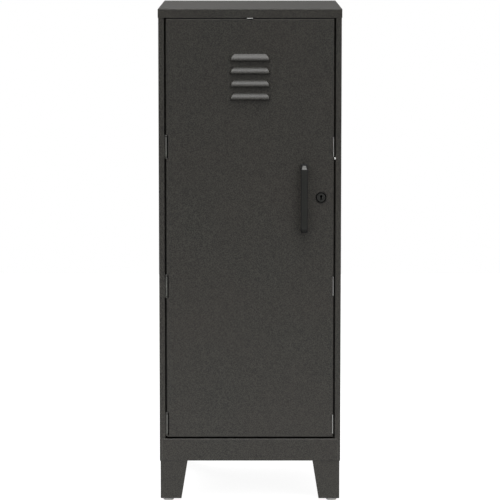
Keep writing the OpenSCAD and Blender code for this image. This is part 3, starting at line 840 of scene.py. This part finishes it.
def build_handle_screws():
    """Pan-head screws with a cross recess, inside the door."""
    x, middle = (HANDLE[0].x + HANDLE[1].x) / 2, (HANDLE[0].z + HANDLE[1].z) / 2
    tip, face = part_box("handle_screws")
    seat = FRONT_Y + SHEET
    half_pitch = 64 * MM
    head = [(4.0, 0), (4.0, 0.9), (3.75, 1.7), (3.1, 2.25), (2.2, 2.5), (0, 2.6)]
    profile = shank((tip.y - seat) / MM, 1.7, 1.95, 0.4) + head
    heights = (middle - half_pitch, middle + half_pitch)
    skin = Skin()
    for z in heights:
        lathe(skin, profile, (x, seat, z), BACKWARDS)
    screws = skin.piece("handle_pan_screws")
    orient(screws)
    for z in heights:
        cross_recess(screws, x, z, 4.2 * MM, 1.5 * MM, face.y)
    return screws


def build_cam_screw():
    """Broad pan-head screw with a cross recess, which holds the cam."""
    x, _, z = RIM_AT
    lo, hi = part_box("cam_screw")
    head_h = 2.4
    seat = hi.y - head_h * MM
    head = [(5.5, 0), (5.5, 0.8), (5.2, 1.6), (4.4, 2.1), (3.2, 2.35), (0, head_h)]
    skin = Skin()
    lathe(skin, shank((lo.y - seat) / MM, 1.6, 1.9, 0.4) + head, (x, seat, z), BACKWARDS)
    screw = skin.piece("cam_pan_screw")
    orient(screw)
    cross_recess(screw, x, z, 5.4 * MM, 1.6 * MM, hi.y)
    return screw


def build_lock_nut():
    """Thin hexagon nut, chamfered outside and at its bore."""
    x, _, z = RIM_AT
    lo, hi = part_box("lock_nut")
    thick = (hi.y - lo.y) / MM
    half = [(8.95, 0.3), (9.3, 0), (12.4, 0), (13.85, 0.5, 6)]
    other_half = [(r, thick - t, *corners) for r, t, *corners in reversed(half)]
    skin = Skin()
    lathe(skin, half + other_half + half[:1], (x, lo.y, z), BACKWARDS)
    return skin.piece("chamfered_nut")


for made, body, replaced in (
    (build_rivets(), "cabinet", "back_rivets"),
    (build_leg_bolts(), "cabinet", "leg_bolts"),
    (build_handle_screws(), "door", "handle_screws"),
    (build_cam_screw(), "lock_core", "cam_screw"),
    (build_lock_nut(), "door", "lock_nut"),
):
    finish_piece(made, body, "zinc_plate", ZINC, replaced)


# ---------- floor, light and camera ----------

def build_stage():
    """Plain floor that shows nearly white and throws some light back up."""
    mesh = bpy.data.meshes.new("floor")
    side, front, back = 2.6, -2.0, 3.4
    corners = [(-side, front, 0), (side, front, 0), (side, back, 0), (-side, back, 0)]
    mesh.from_pydata(corners, [], [(0, 1, 2, 3)])
    floor = show("floor", mesh)
    mat, tree, shader = node_material("pale_floor", Roughness=0.9, Specular_IOR_Level=0.1)
    shader.inputs["Base Color"].default_value = (0.22, 0.22, 0.22, 1)
    shader.inputs["Emission Color"].default_value = (1, 1, 1, 1)
    seen = add(tree, "ShaderNodeLightPath").outputs["Is Camera Ray"]
    thrown, shown = 0.57, 0.93
    tree.links.new(shader.inputs["Emission Strength"], spread(tree, seen, 0, 1, thrown, shown))
    floor.data.materials.append(mat)


def aim(obj, place, target):
    obj.location = place
    obj.rotation_euler = (Vector(target) - Vector(place)).to_track_quat("-Z", "Y").to_euler()


def sun(name, energy, place, degrees):
    """Soft light from the direction of a place. More degrees make its shadows softer."""
    data = bpy.data.lights.new(name, "SUN")
    data.energy = energy
    data.angle = math.radians(degrees)
    aim(show(name, data), place, (0, 0, 0))


def build_world():
    """A studio that is dim at the horizon and brighter overhead, and looks plain white."""
    world = bpy.data.worlds.new("studio")
    world.use_nodes = True
    tree = world.node_tree
    around = tree.nodes["Background"]
    direction = add(tree, "ShaderNodeTexCoord").outputs["Generated"]
    up = part_of(tree, direction, "Z")
    horizon, overhead = 0.07, 0.50
    tree.links.new(around.inputs["Strength"], spread(tree, up, 0.0, 0.9, horizon, overhead))
    around.inputs["Color"].default_value = (1, 1, 1, 1)
    backdrop = add(tree, "ShaderNodeBackground", Color=(1, 1, 1, 1), Strength=1.0)
    seen = add(tree, "ShaderNodeLightPath").outputs["Is Camera Ray"]
    both = [(0, seen), (1, around.outputs[0]), (2, backdrop.outputs[0])]
    mixed = add(tree, "ShaderNodeMixShader", both)
    tree.links.new(tree.nodes["World Output"].inputs["Surface"], mixed.outputs[0])
    bpy.context.scene.world = world


def build_light():
    """Key and fill from the front, a steep light for the hoods, and one from behind for the cap."""
    build_world()
    sun("key", 1.00, (1.25, -2.0, 1.2), 40)
    sun("fill", 0.66, (-1.45, -2.0, 1.25), 40)
    sun("overhead", 3.0, (0.1, -1.65, 4.0), 40)
    sun("back_light", 1.75, (-1.5, 2.4, 1.6), 30)
    bpy.context.scene.view_settings.view_transform = "Standard"


def build_camera():
    """A long lens straight in front of the door, high enough to show a strip of the top."""
    distance, aim_z = 5.9, 0.533
    slope_to_back_edge = 0.0368
    eye_z = CAP[1].z + slope_to_back_edge * (distance + CAP[1].y - FRONT_Y)
    data = bpy.data.cameras.new("camera")
    data.sensor_width = 36
    data.lens = 205.5
    camera = show("camera", data)
    aim(camera, (0, FRONT_Y - distance, eye_z), (0, FRONT_Y, aim_z))
    bpy.context.scene.camera = camera


build_stage()
build_light()
build_camera()
